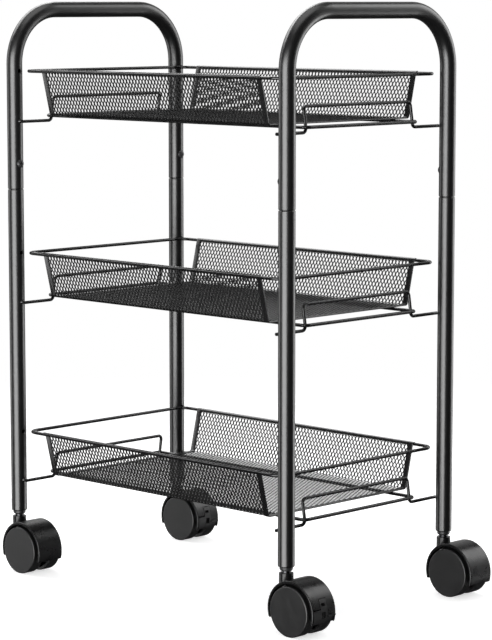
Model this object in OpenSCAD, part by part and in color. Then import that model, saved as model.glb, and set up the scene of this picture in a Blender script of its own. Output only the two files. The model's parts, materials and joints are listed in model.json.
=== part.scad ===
// Three tier rolling utility cart: tube frame, expanded steel trays, twin wheel casters.
// Millimetres. Z up. Origin on the floor, midway between the four legs.
// X runs along the long side, Y from the front to the back.

/* [Frame] */
// Outer diameter of the leg and handle tube
tube_d = 17; // [14:0.5:22]
// Wall thickness of the tube
tube_wall = 1.2; // [0.8:0.1:2]
// Distance between leg axes along the long side
leg_pitch_x = 406.7; // [300:0.1:600]
// Distance between leg axes along the short side
leg_pitch_y = 242.2; // [180:0.1:360]
// Height of the lower end of the legs above the floor
leg_bottom_z = 65.3; // [50:0.1:90]
// Height of the joint between lower legs and handle tubes
joint_z = 420.2; // [300:0.1:500]
// Height of the centreline of the handle bar
handle_z = 613.7; // [500:0.1:800]
// Centreline bend radius of the handle corners
handle_bend_r = 58.4; // [35:0.1:80]
// Length of the reduced spigot that enters the handle tube
spigot_len = 42; // [20:1:60]
// Height of the joint screws above the joint
screw_rise = 27.8; // [15:0.1:40]

/* [Trays] */
// Height of the rim wire of the lowest tray
rim_z = 154; // [120:0.5:220]
// Height step from one tray to the next
tray_pitch = 197; // [150:0.5:260]
// Half length of the rim, along X, to the wire centreline
rim_half_x = 190.9; // [150:0.1:260]
// Half width of the rim, along Y, to the wire centreline
rim_half_y = 118.2; // [80:0.1:170]
// Corner radius of the rim wire centreline
rim_corner_r = 13; // [6:0.5:30]
// Rim wire diameter
rim_wire_d = 3.5; // [2.5:0.1:6]
// Half length of the bent mesh sheet
mesh_half_x = 164.2; // [120:0.1:240]
// Half width of the sheet at the foot of its side walls
mesh_foot_y = 105.5; // [70:0.1:150]
// Thickness of the mesh sheet
mesh_t = 0.6; // [0.4:0.1:1.5]
// Outer radius of the bend between floor and wall
mesh_bend_r = 3; // [1.5:0.1:8]
// Drop from the rim centreline to the base wire centreline
base_drop = 48.75; // [30:0.05:90]
// Half length of the base wire loop
base_half_x = 193.7; // [150:0.1:260]
// Half width of the base wire loop
base_half_y = 84; // [50:0.1:120]
// Corner radius of the base wire loop
base_corner_r = 5; // [3:0.5:20]
// Base wire diameter
base_wire_d = 3.6; // [2.5:0.1:6]

/* [End brackets] */
// Bracket wire diameter
bracket_wire_d = 3.4; // [2.5:0.1:6]
// Half width between the bracket uprights
bracket_half_y = 80.3; // [50:0.1:110]
// Distance of the bracket top bar from the middle of the cart
bracket_top_x = 186.8; // [150:0.1:240]
// Drop from the rim to the bracket top bar
bracket_top_drop = 28.2; // [15:0.1:45]
// Drop from the rim to the bracket feet
foot_drop = 54.15; // [40:0.05:80]
// Centreline radius of the bracket bends
bracket_bend_r = 4.5; // [3:0.1:10]
// Length of a foot past the leg axis
foot_over = 1.2; // [0:0.1:4]

/* [Casters] */
// Wheel diameter
wheel_d = 50.8; // [40:0.1:75]
// Inner face of each wheel, from the middle of the caster
wheel_in_y = 6; // [4:0.1:12]
// Outer face of each wheel, from the middle of the caster
wheel_out_y = 19; // [14:0.1:30]
// Trail of the wheel axle behind the swivel axis
trail = 20.8; // [10:0.1:35]
// Outer radius of the hood
hood_r = 31; // [24:0.1:45]
// Wall thickness of the hood
hood_wall = 2.6; // [1.5:0.1:5]
// Width of the hood
hood_w = 33.4; // [24:0.1:50]
// Height of the lower edge of the hood
hood_low_z = 16; // [8:0.1:24]
// Height of the top of the hood collar
collar_z = 59.1; // [50:0.1:75]
// Diameter of the hood collar
collar_d = 14.6; // [11:0.1:20]
// Diameter of the swivel stem in the socket
stem_d = 8; // [6:0.1:12]
// Diameter of the stem shoulder
shoulder_d = 9.2; // [7:0.1:13]
// Axle pin diameter
axle_d = 6; // [4:0.1:10]

/* [Node] */
// Part to draw

/* [Hidden] */
$fn = 72;
eps = 0.01;
leg_x = leg_pitch_x / 2;
leg_y = leg_pitch_y / 2;
tube_r = tube_d / 2;
bore_r = tube_r - tube_wall;
tray_levels = [rim_z + 2 * tray_pitch, rim_z + tray_pitch, rim_z];

// Joints of the tubes
joint_gap = 0.5;
edge_round = 0.9;
spigot_r = bore_r - 0.05;
spigot_wall = 1.1;
screw_hole_d = 5;
screw_head_d = 9;
screw_head_h = 2.3;
screw_len = 9;
screw_cross_l = 4.6;
screw_cross_w = 1;
screw_cross_floor = 0.7;
leg_edge_round = 1.3;
spare_hole_d = 4.4;
hook_hole_d = 4.2;

// Tray sections
rim_r = rim_wire_d / 2;
base_r = base_wire_d / 2;
wire_gap = 0.02;
curl_in_r = rim_r + wire_gap;
curl_mid_r = curl_in_r + mesh_t / 2;
floor_drop = base_drop - base_r - wire_gap;
bend_mid_r = mesh_bend_r - mesh_t / 2;
floor_half_y = mesh_foot_y - mesh_bend_r;
wall_rise = floor_drop - mesh_bend_r;
wall_run = rim_half_y - mesh_foot_y + mesh_bend_r;
wall_lean = atan(wall_run / wall_rise)
    - asin((curl_mid_r + bend_mid_r) / norm([wall_run, wall_rise]));
curl_past_top = 25;
sheet_lap = 0.3;

// Bracket shape
bracket_r = bracket_wire_d / 2;
weld_gap = 0.12;
foot_x = base_half_x - base_r - bracket_r - weld_gap;
kink_swell = 0.3;
upright_h = foot_drop - bracket_top_drop - bracket_bend_r;
upright_lean = atan((foot_x - bracket_top_x) / upright_h);
upright_len = norm([foot_x - bracket_top_x, upright_h]);
tube_face_x = leg_x - tube_r;
neck_d = 2.2;
cone_len = 1.7;
cone_d = 4.6;
pin_d = 3.6;
pin_reach = 4.5;

// Socket inserts
socket_depth = 26;
socket_flange_d = 13.4;
socket_tip_d = 11.6;
socket_tip_z = 61.6;
stem_top_z = leg_bottom_z + 20;
stem_low_z = 30;
stem_chamfer = 1;
shoulder_depth = 9;
stem_end_gap = 0.4;

// Caster shape
wheel_r = wheel_d / 2;
hood_in_r = hood_r - hood_wall;
hood_edge_r = 1;
web_half_y = wheel_in_y - 0.8;
web_lap = 0.2;
wheel_room_r = wheel_r + 1.1;
running_gap = 0.05;
cut_size = 100;
axle_half = 15;
axle_end_gap = 0.4;
hub_r = 6.5;
wheel_edge_r = 1.1;
rim_band = 3.4;
wheel_skin = 3;

// Brake lever
lever_out_r = hood_r + 0.3;
lever_in_r = hood_r - 2.3;
lever_half_y = hood_w / 2 - 1.6;
lever_low_z = hood_low_z + 0.3;
lever_gap = 0.5;
wing_groove = 1.3;
wing_recess = 1.3;
wing_a_top_z = 30.2;
wing_b_top_z = 24.2;
tongue_y0 = -4.8;
tongue_y1 = 4.8;
tongue_top_z = 40.6;
slot_y0 = -3.4;
slot_w = 5.2;
slot_h = 6.6;
slot_z = 21.5;
square_hole_z = 33.9;
square_hole_h = 3;
ledge_r = hood_r + 1.4;
ledge_h = 1.8;
pivot_r = (hood_r + hood_in_r) / 2;
pivot_z = 38.6;
pivot_x = sqrt(pow(pivot_r, 2) - pow(pivot_z - wheel_r, 2));
pivot_d = 1.8;
pivot_out = 1.2;
pivot_end_gap = 0.2;
ledge_in_r = hood_r - 1.3;

metal = [0.10, 0.10, 0.11];
wire_metal = [0.13, 0.13, 0.14];
plastic = [0.07, 0.07, 0.08];
steel = [0.55, 0.56, 0.58];

// ---------- helpers ----------

// Cylinder along X, centred on x
module rod_x(d, len) {
    rotate([0, 90, 0]) cylinder(d = d, h = len, center = true);
}

// Cylinder along Y, centred on y
module rod_y(d, len) {
    rotate([90, 0, 0]) cylinder(d = d, h = len, center = true);
}

// Quarter ring in the XY plane, from angle a0 to a0 + 90
module quarter_bend(bend_r, d, a0) {
    rotate([0, 0, a0]) rotate_extrude(angle = 90) translate([bend_r, 0]) circle(d = d);
}

// Flat rounded rectangle of round wire
module wire_loop(half_x, half_y, corner_r, d) {
    run_x = half_x - corner_r;
    run_y = half_y - corner_r;
    for (s = [-1, 1]) {
        translate([0, s * half_y, 0]) rod_x(d, 2 * run_x);
        translate([s * half_x, 0, 0]) rod_y(d, 2 * run_y);
    }
    translate([run_x, run_y, 0]) quarter_bend(corner_r, d, 0);
    translate([-run_x, run_y, 0]) quarter_bend(corner_r, d, 90);
    translate([-run_x, -run_y, 0]) quarter_bend(corner_r, d, 180);
    translate([run_x, -run_y, 0]) quarter_bend(corner_r, d, 270);
}

// ---------- frame ----------

// Solid U of round bar in the YZ plane with both lower ends at z0
module u_bar(d, z0) {
    straight = leg_y - handle_bend_r;
    bend_z = handle_z - handle_bend_r;
    for (s = [-1, 1])
        translate([0, s * leg_y, z0]) cylinder(d = d, h = bend_z - z0);
    translate([0, 0, handle_z]) rod_y(d, 2 * straight);
    translate([0, straight, bend_z])
        rotate([0, -90, 0]) quarter_bend(handle_bend_r, d, 0);
    translate([0, -straight, bend_z])
        rotate([0, -90, 0]) quarter_bend(handle_bend_r, d, 270);
}

// Ring that rounds off the lower outer edge of a tube standing on z = 0
module edge_cut(r, round_r) {
    rotate_extrude() difference() {
        translate([r - round_r, -1]) square([round_r + 1, round_r + 1]);
        translate([r - round_r, round_r]) circle(r = round_r);
    }
}

// Holes along X through the inner wall of both uprights at height z
module inner_wall_hole(d, z) {
    for (s = [-1, 1])
        translate([tube_r - 2, s * leg_y, z]) rod_x(d, 8);
}

// Handle tube seen from the left end, inner side facing +X
module handle() {
    difference() {
        u_bar(tube_d, joint_z + joint_gap / 2);
        u_bar(2 * bore_r, joint_z - 1);
        for (s = [-1, 1])
            translate([0, s * leg_y, joint_z + joint_gap / 2]) edge_cut(tube_r, edge_round);
        inner_wall_hole(screw_hole_d, joint_z + screw_rise);
        inner_wall_hole(spare_hole_d, tray_levels[0]);
        inner_wall_hole(hook_hole_d, tray_levels[0] - foot_drop);
    }
}

module handle_left() {
    color(metal) translate([-leg_x, 0, 0]) handle();
}

module handle_right() {
    color(metal) translate([leg_x, 0, 0]) mirror([1, 0, 0]) handle();
}

// Lower leg on its own axis, inner side facing +X
module leg() {
    top = joint_z - joint_gap / 2;
    difference() {
        union() {
            translate([0, 0, leg_bottom_z]) cylinder(r = tube_r, h = top - leg_bottom_z);
            translate([0, 0, top]) cylinder(r = spigot_r, h = spigot_len);
        }
        translate([0, 0, leg_bottom_z - 1]) cylinder(r = bore_r, h = top - leg_bottom_z - 3);
        translate([0, 0, top - 5]) cylinder(r = spigot_r - spigot_wall, h = spigot_len + 10);
        translate([0, 0, leg_bottom_z]) edge_cut(tube_r, leg_edge_round);
        translate([0, 0, top]) mirror([0, 0, 1]) edge_collar_cut();
        translate([tube_r - 2, 0, joint_z + screw_rise]) rod_x(screw_hole_d, 8);
        for (i = [1, 2])
            translate([tube_r - 2, 0, tray_levels[i]]) rod_x(spare_hole_d, 8);
        for (i = [1, 2])
            translate([tube_r - 2, 0, tray_levels[i] - foot_drop]) rod_x(hook_hole_d, 8);
    }
}

// Rounds the shoulder below the spigot without touching the spigot
module edge_collar_cut() {
    rotate_extrude() difference() {
        translate([tube_r - edge_round, 0]) square([edge_round + 1, edge_round]);
        translate([tube_r - edge_round, edge_round]) circle(r = edge_round);
    }
}

module place_leg(side_x, side_y) {
    translate([side_x * leg_x, side_y * leg_y, 0])
        mirror([side_x > 0 ? 1 : 0, 0, 0]) children();
}

module leg_front_left() {
    color(metal) place_leg(-1, -1) leg();
}

module leg_back_left() {
    color(metal) place_leg(-1, 1) leg();
}

module leg_front_right() {
    color(metal) place_leg(1, -1) leg();
}

module leg_back_right() {
    color(metal) place_leg(1, 1) leg();
}

// Domed cross recess screw, head on z = 0 and shank towards -Z
module screw() {
    dome_r = (screw_head_d * screw_head_d / 4 + screw_head_h * screw_head_h) / (2 * screw_head_h);
    difference() {
        union() {
            intersection() {
                translate([0, 0, screw_head_h - dome_r]) sphere(r = dome_r);
                cylinder(d = screw_head_d, h = screw_head_h + 1);
            }
            translate([0, 0, -screw_len]) cylinder(d = screw_hole_d - 0.1, h = screw_len + eps);
        }
        for (a = [0, 90])
            rotate([0, 0, a])
                translate([-screw_cross_l / 2, -screw_cross_w / 2, screw_cross_floor])
                    cube([screw_cross_l, screw_cross_w, screw_head_h]);
    }
}

module joint_screws() {
    color(metal)
        for (sx = [-1, 1], sy = [-1, 1])
            place_leg(sx, sy)
                translate([tube_r, 0, joint_z + screw_rise]) rotate([0, 90, 0]) screw();
}

// Plastic socket pressed into the lower end of a leg
module socket() {
    difference() {
        union() {
            translate([0, 0, leg_bottom_z - eps]) cylinder(r = bore_r, h = socket_depth);
            translate([0, 0, socket_tip_z])
                cylinder(d1 = socket_tip_d, d2 = socket_flange_d, h = 1.2);
            translate([0, 0, socket_tip_z + 1.2])
                cylinder(d = socket_flange_d, h = leg_bottom_z - socket_tip_z - 1.2);
        }
        translate([0, 0, socket_tip_z - 1]) cylinder(d = stem_d, h = socket_depth);
    }
}

module socket_front_left() {
    color(plastic) place_leg(-1, -1) socket();
}

module socket_back_left() {
    color(plastic) place_leg(-1, 1) socket();
}

module socket_front_right() {
    color(plastic) place_leg(1, -1) socket();
}

module socket_back_right() {
    color(plastic) place_leg(1, 1) socket();
}

// ---------- trays ----------

// Section of one side wall with its curl, in Y and Z below the rim centreline
module wall_section() {
    bend_c = [floor_half_y, -floor_drop + mesh_bend_r];
    rise_c = [rim_half_y, 0];
    t2 = mesh_t / 2;
    along = [sin(wall_lean), cos(wall_lean)];
    out = [cos(wall_lean), -sin(wall_lean)];
    top = rise_c - out * curl_mid_r + along * sheet_lap;
    foot = bend_c + out * (mesh_bend_r - t2);
    polygon([foot + out * t2, top + out * t2, top - out * t2, foot - out * t2]);
    // curl over the inner side and top of the rim wire
    translate(rise_c) intersection() {
        difference() {
            circle(r = curl_in_r + mesh_t);
            circle(r = curl_in_r);
        }
        rotate(-wall_lean) polygon([[0, 0], [-6, 0], [-6, 6], [6 * sin(curl_past_top), 6]]);
    }
    // bend from the floor into the wall
    translate(bend_c) intersection() {
        difference() {
            circle(r = mesh_bend_r);
            circle(r = mesh_bend_r - mesh_t);
        }
        polygon([[0, 0], [0, -6], [6, -6], [6, -6 * tan(wall_lean)]]);
    }
}

// Bent sheet of one tray: floor and two long walls, both ends open
module tray_mesh(level) {
    color(wire_metal) translate([-mesh_half_x, 0, level])
        rotate([90, 0, 90]) linear_extrude(2 * mesh_half_x) {
            for (s = [0, 1])
                mirror([s, 0]) wall_section();
            // the floor laps a little into both bends
            translate([-floor_half_y - sheet_lap, -floor_drop])
                square([2 * (floor_half_y + sheet_lap), mesh_t]);
        }
}

module tray_mesh_top() {
    tray_mesh(tray_levels[0]);
}

module tray_mesh_middle() {
    tray_mesh(tray_levels[1]);
}

module tray_mesh_bottom() {
    tray_mesh(tray_levels[2]);
}

module rim_wire(level) {
    color(wire_metal) translate([0, 0, level])
        wire_loop(rim_half_x, rim_half_y, rim_corner_r, rim_wire_d);
}

module rim_wire_top() {
    rim_wire(tray_levels[0]);
}

module rim_wire_middle() {
    rim_wire(tray_levels[1]);
}

module rim_wire_bottom() {
    rim_wire(tray_levels[2]);
}

module base_wire(level) {
    color(wire_metal) translate([0, 0, level - base_drop])
        wire_loop(base_half_x, base_half_y, base_corner_r, base_wire_d);
}

module base_wire_top() {
    base_wire(tray_levels[0]);
}

module base_wire_middle() {
    base_wire(tray_levels[1]);
}

module base_wire_bottom() {
    base_wire(tray_levels[2]);
}

// Half of the right hand bracket on the +Y side, top bar at bracket_top_x
module bracket_half(level) {
    d = bracket_wire_d;
    b = bracket_bend_r;
    foot_end = leg_y + foot_over;
    // top bar, corner and upright share one leaning plane
    translate([bracket_top_x, 0, level - bracket_top_drop]) rotate([0, -upright_lean, 0]) {
        translate([0, (bracket_half_y - b) / 2, 0]) rod_y(d, bracket_half_y - b);
        translate([0, bracket_half_y - b, -b])
            rotate([0, -90, 0]) quarter_bend(b, d, 0);
        translate([0, bracket_half_y, -upright_len])
            cylinder(d = d, h = upright_len - b);
    }
    // slightly swollen kink where the upright straightens up
    translate([foot_x, bracket_half_y, level - foot_drop + b]) sphere(d = d + kink_swell);
    translate([foot_x, bracket_half_y + b, level - foot_drop + b])
        rotate([0, -90, 0]) quarter_bend(b, d, 180);
    translate([foot_x, (bracket_half_y + b + foot_end) / 2, level - foot_drop])
        rod_y(d, foot_end - bracket_half_y - b);
    // neck, cone and pin that hook into the leg
    translate([foot_x, leg_y, level - foot_drop]) rotate([0, 90, 0]) hook_pin();
}

// Turned end of a foot: thin neck, cone against the leg, pin in its hole
module hook_pin() {
    reach = tube_face_x - foot_x;
    rotate_extrude() polygon([
        [0, 0],
        [neck_d / 2, 0],
        [neck_d / 2, reach - cone_len],
        [cone_d / 2, reach],
        [pin_d / 2, reach],
        [pin_d / 2, reach + pin_reach],
        [0, reach + pin_reach]
    ]);
}

module bracket_right(level) {
    color(wire_metal)
        for (s = [0, 1])
            mirror([0, s, 0]) bracket_half(level);
}

module bracket_left(level) {
    mirror([1, 0, 0]) bracket_right(level);
}

module bracket_left_top() {
    bracket_left(tray_levels[0]);
}

module bracket_left_middle() {
    bracket_left(tray_levels[1]);
}

module bracket_left_bottom() {
    bracket_left(tray_levels[2]);
}

module bracket_right_top() {
    bracket_right(tray_levels[0]);
}

module bracket_right_middle() {
    bracket_right(tray_levels[1]);
}

module bracket_right_bottom() {
    bracket_right(tray_levels[2]);
}

// ---------- casters ----------

module place_caster(side_x, side_y) {
    translate([side_x * leg_x, side_y * leg_y, 0]) children();
}

// Drum along Y around the wheel axle
module drum(r, width) {
    translate([trail, 0, wheel_r]) rod_y(2 * r, width);
}

// Steel stem: shank in the socket, shoulder, and tip that the hood turns on
module stem() {
    color(steel) {
        translate([0, 0, stem_low_z])
            cylinder(d = stem_d, h = stem_top_z - stem_low_z - stem_chamfer);
        translate([0, 0, stem_top_z - stem_chamfer])
            cylinder(d1 = stem_d, d2 = stem_d - 2 * stem_chamfer, h = stem_chamfer);
        translate([0, 0, collar_z - shoulder_depth])
            cylinder(d = shoulder_d, h = socket_tip_z - collar_z + shoulder_depth);
    }
}

// Curved shell of the hood with rounded outer edges
module hood_shell() {
    half = hood_w / 2;
    translate([trail, 0, wheel_r]) rotate([90, 0, 0]) rotate_extrude() difference() {
        union() {
            translate([0, -half]) square([hood_r - hood_edge_r, hood_w]);
            translate([0, hood_edge_r - half]) square([hood_r, hood_w - 2 * hood_edge_r]);
            for (s = [-1, 1])
                translate([hood_r - hood_edge_r, s * (half - hood_edge_r)])
                    circle(r = hood_edge_r);
        }
        translate([-hood_r, -half - 1]) square([hood_r + hood_in_r, hood_w + 2]);
    }
}

module hood_body() {
    difference() {
        union() {
            hood_shell();
            drum(hood_in_r + web_lap, 2 * web_half_y);
            difference() {
                translate([0, 0, wheel_r]) cylinder(d = collar_d, h = collar_z - wheel_r);
                for (s = [-1, 1])
                    translate([0, s * (web_half_y + hood_w / 2), 0]) drum(wheel_room_r, hood_w);
            }
        }
        // open underside
        translate([trail - cut_size / 2, -cut_size / 2, hood_low_z - cut_size])
            cube(cut_size);
        // bores of the stem and its shoulder
        translate([0, 0, stem_low_z - stem_end_gap])
            cylinder(d = stem_d + 2 * running_gap, h = collar_z);
        translate([0, 0, collar_z - shoulder_depth - stem_end_gap])
            cylinder(d = shoulder_d + 2 * running_gap, h = collar_z);
        translate([trail, 0, wheel_r]) rod_y(axle_d, hood_w);
    }
}

// Block behind the axle from y0 to y1 and from z0 to z1
module rear_block(y0, y1, z0, z1) {
    translate([trail + hood_r / 2, y0, z0]) cube([hood_r, y1 - y0, z1 - z0]);
}

// Outline of the lever seen from behind, grown by gap, and by groove above the long wing
module lever_outline(gap, groove, low_z) {
    half = lever_half_y + gap;
    rear_block(-half, tongue_y0 + gap, low_z, wing_a_top_z + groove);
    rear_block(tongue_y1 - gap, half, low_z, wing_b_top_z + gap);
    rear_block(tongue_y0 - gap, tongue_y1 + gap, low_z, tongue_top_z + gap);
}

// Trunnions of the lever
module pivot_rod(d, past) {
    translate([trail + pivot_x, (tongue_y0 + tongue_y1) / 2, pivot_z])
        rod_y(d, tongue_y1 - tongue_y0 + 2 * past);
}

module hood_with_brake() {
    difference() {
        hood_body();
        lever_outline(lever_gap, wing_groove, -1);
        pivot_rod(pivot_d + 2 * running_gap, lever_gap + pivot_out + pivot_end_gap);
    }
}

// Curved pedal with two wings and a tongue that carries the trunnions
module brake_lever() {
    difference() {
        union() {
            intersection() {
                difference() {
                    drum(lever_out_r, 2 * lever_half_y);
                    drum(lever_in_r, 2 * lever_half_y + 2);
                }
                lever_outline(0, 0, lever_low_z);
            }
            // ledge for the toe along the top of the short wing
            intersection() {
                difference() {
                    drum(ledge_r, 2 * lever_half_y);
                    drum(ledge_in_r, 2 * lever_half_y + 2);
                }
                rear_block(tongue_y1 - eps, lever_half_y, wing_b_top_z - ledge_h, wing_b_top_z);
            }
            pivot_rod(pivot_d, lever_gap + pivot_out);
        }
        // recess under the ledge
        difference() {
            rear_block(tongue_y1, lever_half_y + 1, lever_low_z - 1, wing_b_top_z - ledge_h);
            drum(hood_r - wing_recess, 2 * hood_w);
        }
        // square hole in the tongue and slot in the pedal
        rear_block(slot_y0, slot_y0 + slot_w, square_hole_z, square_hole_z + square_hole_h);
        rear_block(slot_y0, slot_y0 + slot_w, slot_z, slot_z + slot_h);
    }
}

module axle() {
    color(steel) translate([trail, 0, wheel_r]) rod_y(axle_d, 2 * axle_half);
}

// Wheel on the +Y side of a caster, hollow on its inner side
module wheel() {
    width = wheel_out_y - wheel_in_y;
    color(plastic) translate([trail, wheel_in_y, wheel_r]) rotate([-90, 0, 0])
        rotate_extrude() difference() {
            union() {
                square([wheel_r - wheel_edge_r, width]);
                translate([0, wheel_edge_r]) square([wheel_r, width - 2 * wheel_edge_r]);
                for (h = [wheel_edge_r, width - wheel_edge_r])
                    translate([wheel_r - wheel_edge_r, h]) circle(r = wheel_edge_r);
            }
            // space between hub and rim
            translate([hub_r, -1]) square([wheel_r - rim_band - hub_r, width - wheel_skin + 1]);
            // bore for the axle
            translate([-1, -1])
                square([1 + axle_d / 2 + running_gap, 1 + axle_half - wheel_in_y + axle_end_gap]);
            // left half of the section
            translate([-wheel_d, -1]) square([wheel_d, width + 2]);
        }
}

module caster_stem_front_left() {
    place_caster(-1, -1) stem();
}

module caster_stem_back_left() {
    place_caster(-1, 1) stem();
}

module caster_stem_front_right() {
    place_caster(1, -1) stem();
}

module caster_stem_back_right() {
    place_caster(1, 1) stem();
}

module caster_hood_front_left() {
    color(plastic) place_caster(-1, -1) hood_body();
}

module caster_hood_back_left() {
    color(plastic) place_caster(-1, 1) hood_with_brake();
}

module caster_hood_front_right() {
    color(plastic) place_caster(1, -1) hood_with_brake();
}

module caster_hood_back_right() {
    color(plastic) place_caster(1, 1) hood_body();
}

module caster_axle_front_left() {
    place_caster(-1, -1) axle();
}

module caster_axle_back_left() {
    place_caster(-1, 1) axle();
}

module caster_axle_front_right() {
    place_caster(1, -1) axle();
}

module caster_axle_back_right() {
    place_caster(1, 1) axle();
}

module wheel_a_front_left() {
    place_caster(-1, -1) mirror([0, 1, 0]) wheel();
}

module wheel_a_back_left() {
    place_caster(-1, 1) mirror([0, 1, 0]) wheel();
}

module wheel_a_front_right() {
    place_caster(1, -1) mirror([0, 1, 0]) wheel();
}

module wheel_a_back_right() {
    place_caster(1, 1) mirror([0, 1, 0]) wheel();
}

module wheel_b_front_left() {
    place_caster(-1, -1) wheel();
}

module wheel_b_back_left() {
    place_caster(-1, 1) wheel();
}

module wheel_b_front_right() {
    place_caster(1, -1) wheel();
}

module wheel_b_back_right() {
    place_caster(1, 1) wheel();
}

module brake_lever_back_left() {
    color(plastic) place_caster(-1, 1) brake_lever();
}

module brake_lever_front_right() {
    color(plastic) place_caster(1, -1) brake_lever();
}

handle_left();
handle_right();
leg_front_left();
leg_back_left();
leg_front_right();
leg_back_right();
joint_screws();
socket_front_left();
socket_back_left();
socket_front_right();
socket_back_right();
tray_mesh_top();
tray_mesh_middle();
tray_mesh_bottom();
rim_wire_top();
rim_wire_middle();
rim_wire_bottom();
base_wire_top();
base_wire_middle();
base_wire_bottom();
bracket_left_top();
bracket_left_middle();
bracket_left_bottom();
bracket_right_top();
bracket_right_middle();
bracket_right_bottom();
caster_stem_front_left();
caster_stem_back_left();
caster_stem_front_right();
caster_stem_back_right();
caster_hood_front_left();
caster_hood_back_left();
caster_hood_front_right();
caster_hood_back_right();
caster_axle_front_left();
caster_axle_back_left();
caster_axle_front_right();
caster_axle_back_right();
wheel_a_front_left();
wheel_a_back_left();
wheel_a_front_right();
wheel_a_back_right();
wheel_b_front_left();
wheel_b_back_left();
wheel_b_front_right();
wheel_b_back_right();
brake_lever_back_left();
brake_lever_front_right();
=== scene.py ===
"""Looks of the three tier rolling cart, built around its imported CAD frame. Metres, Z up."""
import json
import math

import bpy
from mathutils import Euler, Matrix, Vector


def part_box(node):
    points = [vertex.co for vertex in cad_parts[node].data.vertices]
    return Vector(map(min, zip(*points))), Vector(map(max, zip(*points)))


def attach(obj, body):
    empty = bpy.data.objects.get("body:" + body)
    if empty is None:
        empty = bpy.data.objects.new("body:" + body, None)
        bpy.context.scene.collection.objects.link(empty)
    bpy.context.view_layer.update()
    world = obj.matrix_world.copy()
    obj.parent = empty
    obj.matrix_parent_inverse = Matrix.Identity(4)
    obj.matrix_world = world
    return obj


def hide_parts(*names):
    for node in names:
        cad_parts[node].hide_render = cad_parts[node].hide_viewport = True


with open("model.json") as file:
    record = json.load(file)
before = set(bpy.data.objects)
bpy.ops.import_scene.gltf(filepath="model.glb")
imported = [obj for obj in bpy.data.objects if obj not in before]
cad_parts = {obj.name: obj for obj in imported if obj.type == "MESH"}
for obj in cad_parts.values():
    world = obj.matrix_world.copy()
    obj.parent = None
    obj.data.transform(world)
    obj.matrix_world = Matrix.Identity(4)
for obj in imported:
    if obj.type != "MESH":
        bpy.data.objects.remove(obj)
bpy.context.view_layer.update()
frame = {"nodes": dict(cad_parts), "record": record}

MM = 0.001
TIERS = ("top", "middle", "bottom")

# Sheet of the trays: thickness, outer radius of the bends, how far the curl runs past the top of
# the rim wire, and width and thickness of the hems
SHEET_T = 0.6 * MM
BEND_R = 3.0 * MM
CURL_PAST_TOP = math.radians(25)
HEM_W = 6.8 * MM
HEM_T = 1.0 * MM

# Expanded mesh: pitch across and along the diamonds, strand width, thickness and twist
DIAMOND_W = 4.7 * MM
DIAMOND_H = 8.5 * MM
STRAND_W = 1.3 * MM
STRAND_T = 0.43 * MM
STRAND_TWIST = 0.18 * MM

# The side corners of an opening are cut off. Half the height of the cut, and its distance in from
# the corner, as shares of the opening's half height and half width
KNUCKLE_FLAT = 0.22
KNUCKLE_CUT = 0.6 * KNUCKLE_FLAT

# Welds between brackets and base wires: radius, and stretch along Y and Z
WELD_R = 1.5 * MM
WELD_LONG = 1.3
WELD_TALL = 1.5

# Steps that round shapes are divided into
FLOOR_SIDES = 96
BEND_STEPS = 8
HEM_STEPS = 6
CURL_STEPS = 12
WELD_RINGS = 8
WELD_SIDES = 12

# Faces of a piece look smooth where they meet at less than these angles
SHEET_SMOOTH = math.radians(40)
WELD_SMOOTH = math.radians(60)

# Vertices this close to the lowest level of a node belong to its flat underside
LEVEL_TOL = 0.01 * MM


# ---------- camera, floor and light ----------

CAMERA_AT = Vector((1.9078, -1.9156, 0.6223))
CAMERA_YAW = math.radians(44.46)
CAMERA_PITCH = math.radians(-7.23)

# Floor: radius of the disc, radii between which it fades out, and its own light
FLOOR_R = 1.6
FLOOR_FADE = (0.45, 1.5)
FLOOR_GLOW = 0.62

# Point that the lights are aimed at
LIGHT_AIM = Vector((0, 0, 0.32))

# Tilt of the room's pale end, as rise over run
ROOM_TILT = 0.3


def add_camera():
    data = bpy.data.cameras.new("camera")
    data.sensor_width = 36.0
    data.lens = 142.92
    data.shift_x = 0.0006
    data.shift_y = 0.0061
    camera = bpy.data.objects.new("camera", data)
    camera.location = CAMERA_AT
    camera.rotation_euler = Euler((math.pi / 2 + CAMERA_PITCH, 0, CAMERA_YAW))
    bpy.context.scene.collection.objects.link(camera)
    bpy.context.scene.camera = camera


def view_forward():
    return Vector((-math.sin(CAMERA_YAW), math.cos(CAMERA_YAW), 0))


def add_floor():
    """A pale round floor that fades out into the white backdrop and shows in no reflection."""
    turns = [2 * math.pi * k / FLOOR_SIDES for k in range(FLOOR_SIDES)]
    rim = [(FLOOR_R * math.cos(turn), FLOOR_R * math.sin(turn), 0) for turn in turns]
    mesh = bpy.data.meshes.new("floor")
    mesh.from_pydata(rim, [], [tuple(range(FLOOR_SIDES))])
    floor = bpy.data.objects.new("floor", mesh)
    floor.visible_glossy = False
    bpy.context.scene.collection.objects.link(floor)
    material, nodes, links, shader = new_material("floor_paper")
    shader.inputs["Base Color"].default_value = (0.86, 0.86, 0.86, 1)
    shader.inputs["Roughness"].default_value = 0.9
    shader.inputs["Specular IOR Level"].default_value = 0.1
    shader.inputs["Emission Color"].default_value = (1, 1, 1, 1)
    shader.inputs["Emission Strength"].default_value = FLOOR_GLOW
    reach = nodes.new("ShaderNodeVectorMath")
    reach.operation = "LENGTH"
    links.new(object_coords(nodes), reach.inputs[0])
    solid = remap(nodes, links, reach.outputs["Value"], *FLOOR_FADE, 1, 0)
    links.new(solid, shader.inputs["Alpha"])
    mesh.materials.append(material)


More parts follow.
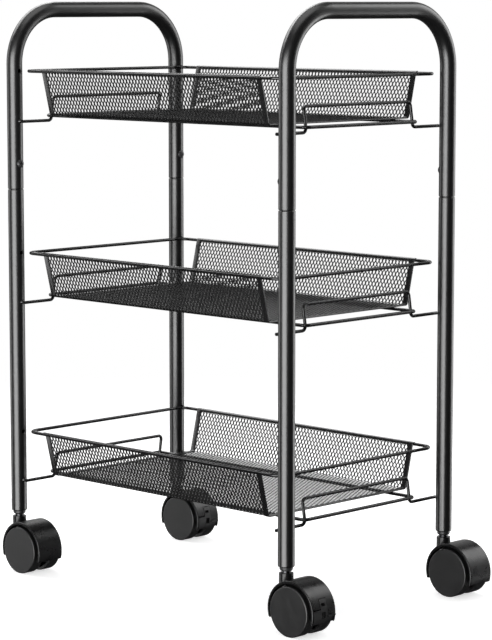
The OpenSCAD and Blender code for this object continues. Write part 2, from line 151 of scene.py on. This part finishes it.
def add_softbox(name, turn, rise, distance, size, radiance):
    """A softbox that faces the cart, turned to the right of the camera and raised, in degrees."""
    width, height = size
    yaw = CAMERA_YAW + math.radians(turn)
    pitch = math.radians(rise)
    toward = Vector((math.sin(yaw) * math.cos(pitch), -math.cos(yaw) * math.cos(pitch), math.sin(pitch)))
    data = bpy.data.lights.new(name, "AREA")
    data.shape = "RECTANGLE"
    data.size = width
    data.size_y = height
    data.energy = radiance * math.pi * width * height
    light = bpy.data.objects.new(name, data)
    light.location = LIGHT_AIM + toward * distance
    light.rotation_euler = (LIGHT_AIM - light.location).to_track_quat("-Z", "Y").to_euler()
    bpy.context.scene.collection.objects.link(light)


def add_room():
    """White to the camera. In light and reflections, dim with a paler end behind the cart."""
    world = bpy.data.worlds.new("studio")
    world.use_nodes = True
    nodes, links = world.node_tree.nodes, world.node_tree.links
    nodes.clear()
    out = nodes.new("ShaderNodeOutputWorld")
    coords = nodes.new("ShaderNodeTexCoord")
    dot = nodes.new("ShaderNodeVectorMath")
    dot.operation = "DOT_PRODUCT"
    dot.inputs[1].default_value = (view_forward() + Vector((0, 0, ROOM_TILT))).normalized()
    links.new(coords.outputs["Generated"], dot.inputs[0])
    ramp = nodes.new("ShaderNodeMapRange")
    ramp.interpolation_type = "SMOOTHSTEP"
    ramp.inputs["From Min"].default_value = 0.78
    ramp.inputs["From Max"].default_value = 0.98
    ramp.inputs["To Min"].default_value = 0.03
    ramp.inputs["To Max"].default_value = 0.5
    links.new(dot.outputs["Value"], ramp.inputs["Value"])
    lit = nodes.new("ShaderNodeBackground")
    links.new(ramp.outputs["Result"], lit.inputs["Strength"])
    seen = nodes.new("ShaderNodeBackground")
    for background in (lit, seen):
        background.inputs["Color"].default_value = (1, 1, 1, 1)
    path = nodes.new("ShaderNodeLightPath")
    mix = nodes.new("ShaderNodeMixShader")
    links.new(path.outputs["Is Camera Ray"], mix.inputs["Fac"])
    links.new(lit.outputs["Background"], mix.inputs[1])
    links.new(seen.outputs["Background"], mix.inputs[2])
    links.new(mix.outputs["Shader"], out.inputs["Surface"])
    bpy.context.scene.world = world
    bpy.context.scene.view_settings.view_transform = "Standard"


def add_lights():
    add_softbox("key", turn=-30, rise=-4, distance=3.2, size=(3.3, 3.0), radiance=6.0)
    add_softbox("rim_right", turn=117, rise=10, distance=3.2, size=(1.9, 4.6), radiance=3.1)
    add_softbox("rim_left", turn=-113, rise=-4, distance=3.2, size=(1.1, 3.0), radiance=2.2)
    add_softbox("top", turn=40, rise=84, distance=2.6, size=(2.4, 2.4), radiance=1.3)
    add_softbox("back_left", turn=-142, rise=42, distance=3.0, size=(3.4, 1.4), radiance=4.5)


# ---------- materials ----------

def new_material(name):
    material = bpy.data.materials.new(name)
    material.use_nodes = True
    nodes, links = material.node_tree.nodes, material.node_tree.links
    return material, nodes, links, nodes["Principled BSDF"]


def noise(nodes, links, coords, scale, detail=3.0, stretch=(1, 1, 1)):
    """Noise of that many cells a metre, stretched along the axes, as a value from 0 to 1."""
    mapping = nodes.new("ShaderNodeMapping")
    mapping.inputs["Scale"].default_value = stretch
    links.new(coords, mapping.inputs["Vector"])
    texture = nodes.new("ShaderNodeTexNoise")
    texture.inputs["Scale"].default_value = scale
    texture.inputs["Detail"].default_value = detail
    links.new(mapping.outputs["Vector"], texture.inputs["Vector"])
    return texture.outputs["Fac"]


def remap(nodes, links, value, low, high, to_low, to_high):
    node = nodes.new("ShaderNodeMapRange")
    node.inputs["From Min"].default_value = low
    node.inputs["From Max"].default_value = high
    node.inputs["To Min"].default_value = to_low
    node.inputs["To Max"].default_value = to_high
    links.new(value, node.inputs["Value"])
    return node.outputs["Result"]


def mix_colour(nodes, links, factor, first, second):
    node = nodes.new("ShaderNodeMix")
    node.data_type = "RGBA"
    links.new(factor, node.inputs["Factor"])
    for socket, colour in ((node.inputs["A"], first), (node.inputs["B"], second)):
        if isinstance(colour, bpy.types.NodeSocket):
            links.new(colour, socket)
        else:
            socket.default_value = (*colour, 1)
    return node.outputs["Result"]


def bump(nodes, links, height, distance, strength, below=None):
    node = nodes.new("ShaderNodeBump")
    node.inputs["Distance"].default_value = distance
    node.inputs["Strength"].default_value = strength
    links.new(height, node.inputs["Height"])
    if below is not None:
        links.new(below, node.inputs["Normal"])
    return node.outputs["Normal"]


def object_coords(nodes):
    return nodes.new("ShaderNodeTexCoord").outputs["Object"]


def shades(colour, *factors):
    """The colour made darker or lighter by each factor."""
    return [tuple(channel * factor for channel in colour) for factor in factors]


def powder_coat(name, colour, roughness, specular):
    """Satin black powder coat: cloudy tone, orange peel and a few fine dust specks."""
    material, nodes, links, shader = new_material(name)
    coords = object_coords(nodes)
    dark, light, dust = shades(colour, 0.8, 1.2, 3.0)
    clouds = remap(nodes, links, noise(nodes, links, coords, scale=38), 0.3, 0.7, 0, 1)
    tone = mix_colour(nodes, links, clouds, dark, light)
    fine = noise(nodes, links, coords, scale=1500, detail=1.0)
    specks = remap(nodes, links, fine, 0.72, 0.8, 0, 0.4)
    links.new(mix_colour(nodes, links, specks, tone, dust), shader.inputs["Base Color"])
    satin = noise(nodes, links, coords, scale=140)
    links.new(remap(nodes, links, satin, 0.3, 0.7, roughness - 0.02, roughness + 0.02),
              shader.inputs["Roughness"])
    coarse = noise(nodes, links, coords, scale=620, detail=2.0)
    peel = bump(nodes, links, coarse, distance=0.00005, strength=0.035)
    sharp = noise(nodes, links, coords, scale=2600, detail=2.0)
    grit = bump(nodes, links, sharp, distance=0.00002, strength=0.04, below=peel)
    links.new(grit, shader.inputs["Normal"])
    shader.inputs["Specular IOR Level"].default_value = specular
    return material


def moulded_plastic(name, colour, roughness, grain, specular):
    """Moulded plastic: fine spark texture, flow streaks and rubbed patches."""
    material, nodes, links, shader = new_material(name)
    coords = object_coords(nodes)
    dark, light, rubbed = shades(colour, 0.85, 1.15, 1.5)
    streaks = noise(nodes, links, coords, scale=55, detail=4.0, stretch=(1, 1, 3))
    flow = remap(nodes, links, streaks, 0.3, 0.7, 0, 1)
    tone = mix_colour(nodes, links, flow, dark, light)
    patches = noise(nodes, links, coords, scale=210, detail=5.0)
    rub = remap(nodes, links, patches, 0.62, 0.8, 0, 0.5)
    links.new(mix_colour(nodes, links, rub, tone, rubbed), shader.inputs["Base Color"])
    sheen = noise(nodes, links, coords, scale=95, detail=4.0)
    links.new(remap(nodes, links, sheen, 0.3, 0.7, roughness - 0.03, roughness + 0.04),
              shader.inputs["Roughness"])
    fine = noise(nodes, links, coords, scale=1900, detail=2.0)
    spark = bump(nodes, links, fine, distance=0.00004, strength=grain)
    broad = noise(nodes, links, coords, scale=75, detail=1.0)
    waves = bump(nodes, links, broad, distance=0.0004, strength=0.025, below=spark)
    links.new(waves, shader.inputs["Normal"])
    shader.inputs["Specular IOR Level"].default_value = specular
    return material


def zinc_steel(name, dull, clean):
    """Zinc plated steel with turning marks and dull spots."""
    material, nodes, links, shader = new_material(name)
    coords = object_coords(nodes)
    spots = noise(nodes, links, coords, scale=160, detail=4.0)
    clouds = remap(nodes, links, spots, 0.3, 0.7, 0, 1)
    links.new(mix_colour(nodes, links, clouds, dull, clean), shader.inputs["Base Color"])
    shader.inputs["Metallic"].default_value = 1.0
    marks = noise(nodes, links, coords, scale=300, stretch=(1, 1, 12))
    links.new(remap(nodes, links, marks, 0.3, 0.7, 0.25, 0.42), shader.inputs["Roughness"])
    links.new(bump(nodes, links, marks, distance=0.00005, strength=0.3), shader.inputs["Normal"])
    return material


def black_oxide(name):
    """Blackened screw steel, rubbed to a lighter grey in patches."""
    material, nodes, links, shader = new_material(name)
    coords = object_coords(nodes)
    oxide, steel = (0.05, 0.05, 0.052), (0.22, 0.22, 0.225)
    patches = noise(nodes, links, coords, scale=900, detail=4.0)
    rub = remap(nodes, links, patches, 0.5, 0.75, 0, 0.7)
    links.new(mix_colour(nodes, links, rub, oxide, steel), shader.inputs["Base Color"])
    shader.inputs["Metallic"].default_value = 0.6
    grime = noise(nodes, links, coords, scale=420)
    links.new(remap(nodes, links, grime, 0.3, 0.7, 0.28, 0.45), shader.inputs["Roughness"])
    links.new(bump(nodes, links, grime, distance=0.00005, strength=0.3), shader.inputs["Normal"])
    return material


def make_materials():
    """Coats as colour, roughness and specular, plastics with their grain before the specular."""
    return {
        "tube": powder_coat("tube_coat", (0.0028, 0.0028, 0.003), 0.33, 0.95),
        "wire": powder_coat("wire_coat", (0.0024, 0.0024, 0.0026), 0.26, 0.6),
        "hem": powder_coat("hem_coat", (0.0036, 0.0036, 0.0038), 0.25, 0.9),
        "mesh": powder_coat("mesh_coat", (0.003, 0.003, 0.0032), 0.34, 0.4),
        "screw": black_oxide("screw_black"),
        "socket": moulded_plastic("socket_plastic", (0.02, 0.02, 0.021), 0.4, 0.4, 0.5),
        "stem": zinc_steel("stem_zinc", (0.035, 0.035, 0.037), (0.08, 0.08, 0.083)),
        "axle": zinc_steel("axle_zinc", (0.42, 0.43, 0.45), (0.6, 0.6, 0.61)),
        "hood": moulded_plastic("hood_plastic", (0.005, 0.005, 0.0053), 0.28, 0.3, 0.45),
        "wheel": moulded_plastic("wheel_plastic", (0.006, 0.006, 0.0063), 0.4, 0.4, 0.8),
        "lever": moulded_plastic("lever_plastic", (0.005, 0.005, 0.0053), 0.36, 0.5, 0.5),
    }


def dress_cad_nodes(materials):
    slots = {part["node"]: part["material_slot"] for part in frame["record"]["subparts"]}
    for name, piece in frame["nodes"].items():
        piece.data.materials.clear()
        piece.data.materials.append(materials[slots[name]])


# ---------- mesh helpers ----------

def add_piece(name, points, faces, material, smooth_angle=None):
    """A mesh piece on the frame body, smooth where faces meet at less than that angle."""
    mesh = bpy.data.meshes.new(name)
    mesh.from_pydata(points, [], faces)
    mesh.materials.append(material)
    if smooth_angle is not None:
        mesh.shade_smooth()
        mesh.set_sharp_from_angle(angle=smooth_angle)
    piece = bpy.data.objects.new(name, mesh)
    bpy.context.scene.collection.objects.link(piece)
    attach(piece, "frame")
    return piece


def thicken(flat, faces, place, thickness):
    """Closes a sheet of (u, v, lift) points: both faces, and a wall along every free edge."""
    count = len(flat)
    points = [place(u, v, lift + thickness / 2) for u, v, lift in flat]
    points += [place(u, v, lift - thickness / 2) for u, v, lift in flat]
    edges = set()
    for face in faces:
        edges.update(zip(face, face[1:] + face[:1]))
    solid = list(faces)
    solid += [tuple(i + count for i in reversed(face)) for face in faces]
    solid += [(b, a, a + count, b + count) for a, b in edges if (b, a) not in edges]
    return points, solid


def sweep(rings):
    """Points and faces of a closed bar through rings of as many points each, with capped ends."""
    size = len(rings[0])
    points = [point for ring in rings for point in ring]
    last = (len(rings) - 1) * size
    faces = []
    for first in range(0, last, size):
        for j in range(size):
            k = (j + 1) % size
            faces.append((first + j, first + k, first + size + k, first + size + j))
    faces.append(tuple(reversed(range(size))))
    faces.append(tuple(last + j for j in range(size)))
    return points, faces


# ---------- trays ----------

class TrayProfile:
    """Middle line of the bent sheet in Y and Z, by the distance from the middle of the floor."""

    def __init__(self, tier):
        low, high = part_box("tray_mesh_" + tier)
        rim_low, rim_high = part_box("rim_wire_" + tier)
        wire_r = (rim_high.z - rim_low.z) / 2
        vertices = frame["nodes"]["tray_mesh_" + tier].data.vertices
        self.half_x = high.x
        self.rim = Vector((rim_high.y - wire_r, (rim_low.z + rim_high.z) / 2))
        self.curl_r = high.z - self.rim.y - SHEET_T / 2
        self.floor_z = low.z + SHEET_T / 2
        self.floor_y = max(v.co.y for v in vertices if v.co.z < low.z + LEVEL_TOL)
        self.bend_r = BEND_R - SHEET_T / 2
        self.bend_at = Vector((self.floor_y, low.z + BEND_R))
        gap = self.rim - self.bend_at
        self.lean = math.atan2(gap.x, gap.y)
        self.lean -= math.asin((self.curl_r + self.bend_r) / gap.length)
        self.out = Vector((math.cos(self.lean), -math.sin(self.lean)))
        self.foot = self.bend_at + self.out * self.bend_r
        self.head = self.rim - self.out * self.curl_r
        self.arc = self.bend_r * (math.pi / 2 - self.lean)
        self.length = self.floor_y + self.arc + (self.head - self.foot).length

    def at(self, distance):
        """The point and the outward normal there, for either side of the tray."""
        side = -1 if distance < 0 else 1
        along = abs(distance)
        if along <= self.floor_y:
            point, normal = Vector((along, self.floor_z)), Vector((0, -1))
        elif along <= self.floor_y + self.arc:
            turn = (along - self.floor_y) / self.bend_r
            normal = Vector((math.sin(turn), -math.cos(turn)))
            point = self.bend_at + normal * self.bend_r
        else:
            rise = (self.head - self.foot).normalized()
            point = self.foot + rise * (along - self.floor_y - self.arc)
            normal = self.out
        return Vector((side * point.x, point.y)), Vector((side * normal.x, normal.y))

    def place(self, u, v, lift):
        """The point at u along the tray, distance v around it and that lift off the middle line."""
        point, normal = self.at(v)
        return (u, point.x + normal.x * lift, point.y + normal.y * lift)

    def stations(self):
        """Distances that follow the bends closely from one rim to the other."""
        bend = [self.floor_y + self.arc * i / BEND_STEPS for i in range(BEND_STEPS + 1)]
        side = bend + [self.length]
        return [-s for s in reversed(side)] + side


def add_expanded_mesh(tier, profile, material):
    """One lattice of twisted strands that covers the floor and both walls between the hems."""
    half_w = DIAMOND_W / 2
    rows = round(2 * profile.length / (DIAMOND_H / 2))
    step_v = 2 * profile.length / rows
    columns = 2 * math.ceil((profile.half_x - HEM_W) / DIAMOND_W)
    # From the centre of a diamond to the middle line of a strand, and what the strand leaves open
    reach = half_w * step_v / math.hypot(half_w, step_v)
    inset = 1 - STRAND_W / 2 / reach
    edge = 1 - inset
    cut_v = KNUCKLE_FLAT * inset
    cut_u = inset * (1 - KNUCKLE_CUT)
    flat, faces, corner_at = [], [], {}

    def corner(i, j):
        """Crossing of two strands, shared by the diamonds around it."""
        if (i, j) not in corner_at:
            corner_at[i, j] = len(flat)
            flat.append((i * half_w, -profile.length + j * step_v, 0.0))
        return corner_at[i, j]

    def inner(i, j, du, dv):
        """Point on the opening around (i, j), lifted to one side by the strand's twist."""
        flat.append((i * half_w + du * half_w, -profile.length + (j + dv) * step_v, du * STRAND_TWIST))
        return len(flat) - 1

    for i in range(-columns + 1, columns):
        for j in range(rows + 1):
            if (i + j) % 2 == 0:
                continue
            left, right = corner(i - 1, j), corner(i + 1, j)
            low = corner(i, j - 1) if j > 0 else None
            high = corner(i, j + 1) if j < rows else None
            dv_high = cut_v if high is not None else -edge
            dv_low = -cut_v if low is not None else edge
            right_high, left_high = inner(i, j, cut_u, dv_high), inner(i, j, -cut_u, dv_high)
            right_low, left_low = inner(i, j, cut_u, dv_low), inner(i, j, -cut_u, dv_low)
            faces += [(right, right_high, right_low), (left, left_low, left_high)]
            if high is None:
                faces.append((right, left, left_high, right_high))
            else:
                tip = inner(i, j, 0, inset)
                faces += [(right, high, tip, right_high), (high, left, left_high, tip)]
            if low is None:
                faces.append((left, right, right_low, left_low))
            else:
                tip = inner(i, j, 0, -inset)
                faces += [(left, low, tip, left_low), (low, right, right_low, tip)]

    points, solid = thicken(flat, faces, profile.place, STRAND_T)
    piece = add_piece("expanded_mesh_" + tier, points, solid, material)
    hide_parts("tray_mesh_" + tier)


def add_hems(tier, profile, material):
    """Folded strips along both open ends of the sheet."""
    for side, name in ((-1, "left"), (1, "right")):
        outer = side * profile.half_x
        round_at = outer - side * HEM_T / 2
        section = [(outer - side * HEM_W, -HEM_T / 2), (outer - side * HEM_W, HEM_T / 2)]
        for k in range(HEM_STEPS + 1):
            turn = math.pi / 2 - math.pi * k / HEM_STEPS
            section.append((round_at + side * math.cos(turn) * HEM_T / 2, math.sin(turn) * HEM_T / 2))
        rings = [[profile.place(u, v, lift) for u, lift in section] for v in profile.stations()]
        points, faces = sweep(rings)
        add_piece(f"end_hem_{name}_{tier}", points, faces, material, SHEET_SMOOTH)


def add_curls(tier, profile, material):
    """Top edges of the sheet, rolled over the inner side and top of the rim wire."""
    start = math.pi - profile.lean
    turn = start - (math.pi / 2 - CURL_PAST_TOP)
    half_t = SHEET_T / 2
    for side, name in ((-1, "front"), (1, "back")):
        section = []
        for radius, order in ((profile.curl_r + half_t, range(CURL_STEPS + 1)),
                              (profile.curl_r - half_t, range(CURL_STEPS, -1, -1))):
            for k in order:
                angle = start - turn * k / CURL_STEPS
                section.append((profile.rim.x + radius * math.cos(angle),
                                profile.rim.y + radius * math.sin(angle)))
        rings = [[(u, side * y, z) for y, z in section] for u in (-profile.half_x, profile.half_x)]
        points, faces = sweep(rings)
        add_piece(f"rim_curl_{name}_{tier}", points, faces, material, SHEET_SMOOTH)


def add_welds(tier, material):
    """Small squashed spot welds where the brackets cross the base wire."""
    base_low, base_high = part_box("base_wire_" + tier)
    wire_r = (base_high.z - base_low.z) / 2
    at_y = base_high.y - 2 * wire_r
    at_z = (base_low.z + base_high.z) / 2
    for side, name in ((-1, "left"), (1, "right")):
        at_x = side * (base_high.x - 2 * wire_r)
        for sign, end in ((-1, "front"), (1, "back")):
            rings = []
            for i in range(1, WELD_RINGS):
                polar = math.pi * i / WELD_RINGS
                ring = []
                for k in range(WELD_SIDES):
                    turn = 2 * math.pi * k / WELD_SIDES
                    ring.append((at_x + WELD_R * math.sin(polar) * math.cos(turn),
                                 sign * at_y + WELD_LONG * WELD_R * math.sin(polar) * math.sin(turn),
                                 at_z + WELD_TALL * WELD_R * math.cos(polar)))
                rings.append(ring)
            points, faces = sweep(rings)
            add_piece(f"weld_{name}_{end}_{tier}", points, faces, material, WELD_SMOOTH)


def main():
    add_camera()
    add_floor()
    add_room()
    add_lights()
    materials = make_materials()
    dress_cad_nodes(materials)
    for tier in TIERS:
        profile = TrayProfile(tier)
        add_expanded_mesh(tier, profile, materials["mesh"])
        add_hems(tier, profile, materials["hem"])
        add_curls(tier, profile, materials["hem"])
        add_welds(tier, materials["wire"])


main()
